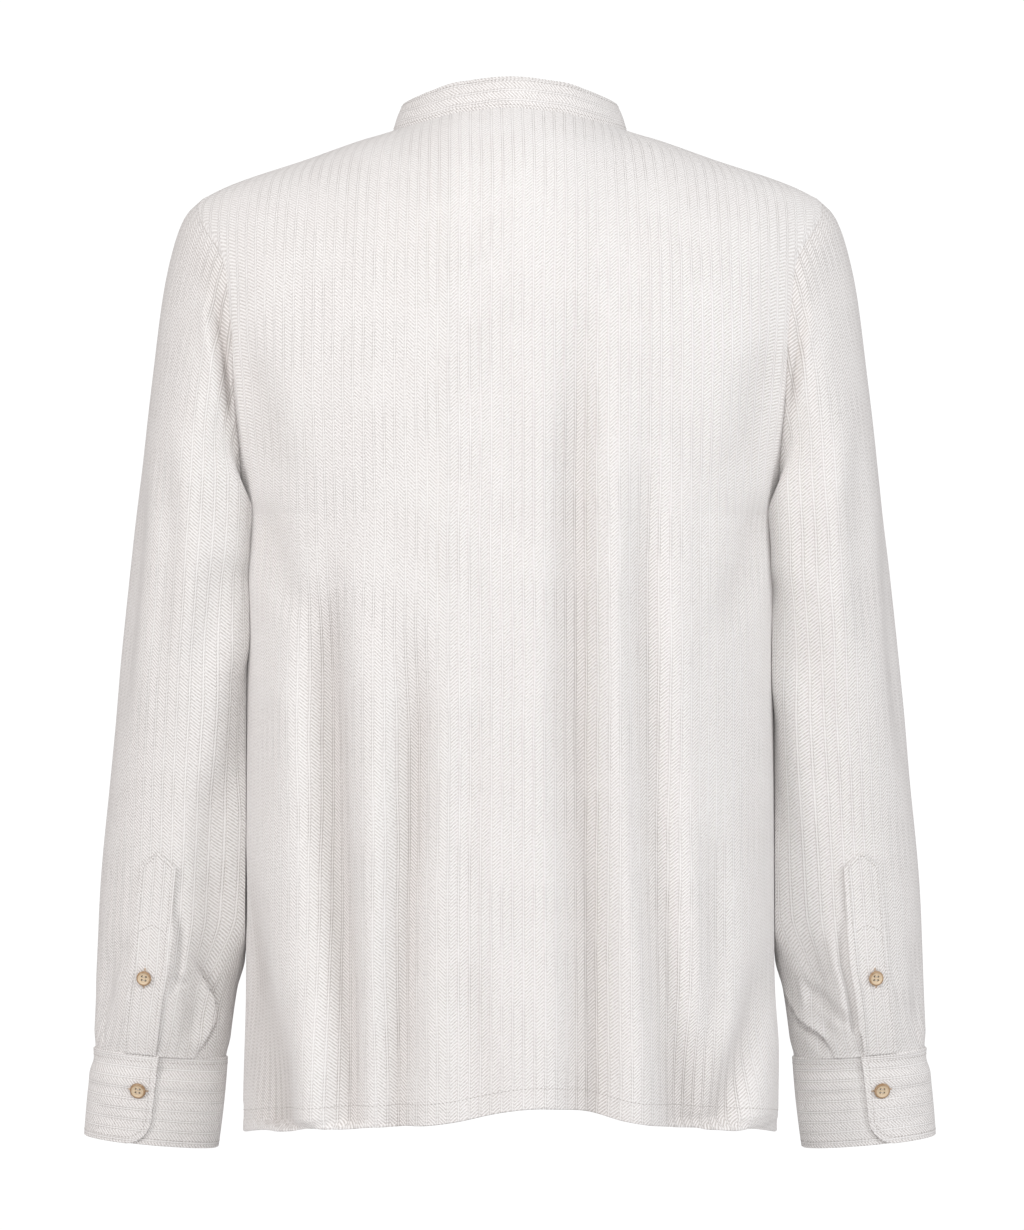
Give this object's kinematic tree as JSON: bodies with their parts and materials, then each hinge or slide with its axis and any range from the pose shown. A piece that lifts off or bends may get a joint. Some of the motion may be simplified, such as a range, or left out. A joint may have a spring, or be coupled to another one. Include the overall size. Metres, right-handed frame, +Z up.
{
  "type": "band collar shirt",
  "caption": "Long-sleeved band collar shirt, filled out with no wearer, with buttoned cuffs, sleeve plackets and a straight hem.",
  "frame": {"origin": "middle of the neck opening, level with the points where the neck meets the shoulders", "axes": "+Z up, +Y out of the shirt's back, +X towards the wearer's left"},
  "size_m": [0.604, 0.2566, 0.7473],
  "materials": {
    "body_cloth": "matte",
    "trim_cloth": "matte",
    "button": "satin"
  },
  "bodies": {
    "root": {"back_panel": "body_cloth", "front_left": "body_cloth", "front_right": "body_cloth", "front_placket": "trim_cloth", "collar_band": "trim_cloth", "sleeve_left": "trim_cloth", "sleeve_right": "trim_cloth", "cuff_left": "trim_cloth", "cuff_right": "trim_cloth", "sleeve_placket_left": "trim_cloth", "sleeve_placket_right": "trim_cloth", "collar_button": "button", "front_button_1": "button", "front_button_2": "button", "front_button_3": "button", "front_button_4": "button", "front_button_5": "button", "front_button_6": "button", "sleeve_button_left": "button", "sleeve_button_right": "button", "cuff_button_left": "button", "cuff_button_right": "button"}
  },
  "joints": []
}
